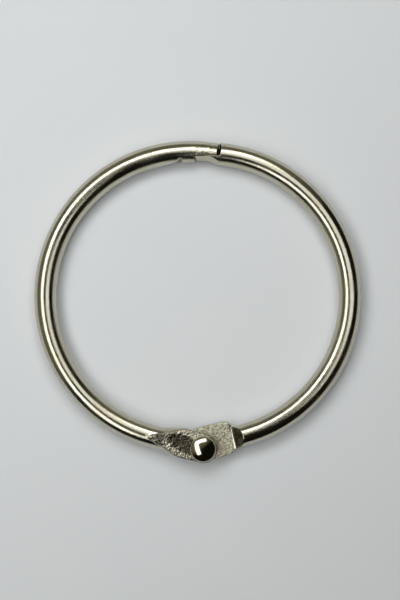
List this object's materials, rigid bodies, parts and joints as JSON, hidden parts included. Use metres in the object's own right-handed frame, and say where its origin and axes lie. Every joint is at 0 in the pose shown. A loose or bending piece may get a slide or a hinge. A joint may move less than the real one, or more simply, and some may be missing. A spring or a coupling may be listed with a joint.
{
  "type": "binder ring",
  "caption": "Hinged loose-leaf binder ring of round nickel-plated wire, riveted at its flattened eyes and closed by a lapped lock.",
  "frame": {"origin": "middle of the closed ring's outer box, at the height it rests on", "axes": "+Z out of the plane of the ring on the side of the rivet's head, +Y from the hinge towards the lock, +X towards the half whose eye lies underneath"},
  "size_m": [0.044, 0.0432, 0.0044],
  "materials": {
    "plated_wire": "bright warm nickel plating, stippled on the coined eyes",
    "plated_rivet": "bright warm nickel plating"
  },
  "bodies": {
    "left_half": {"left_half_ring": "plated_wire", "rivet": "plated_rivet"},
    "right_half": {"right_half_ring": "plated_wire"}
  },
  "joints": [
    {"name": "ring_hinge", "type": "hinge", "parent": "left_half", "child": "right_half", "pos_m": [0.00073, -0.01963, 0.00179], "axis": [0, 0, -1], "range_deg": [0, 163]}
  ]
}
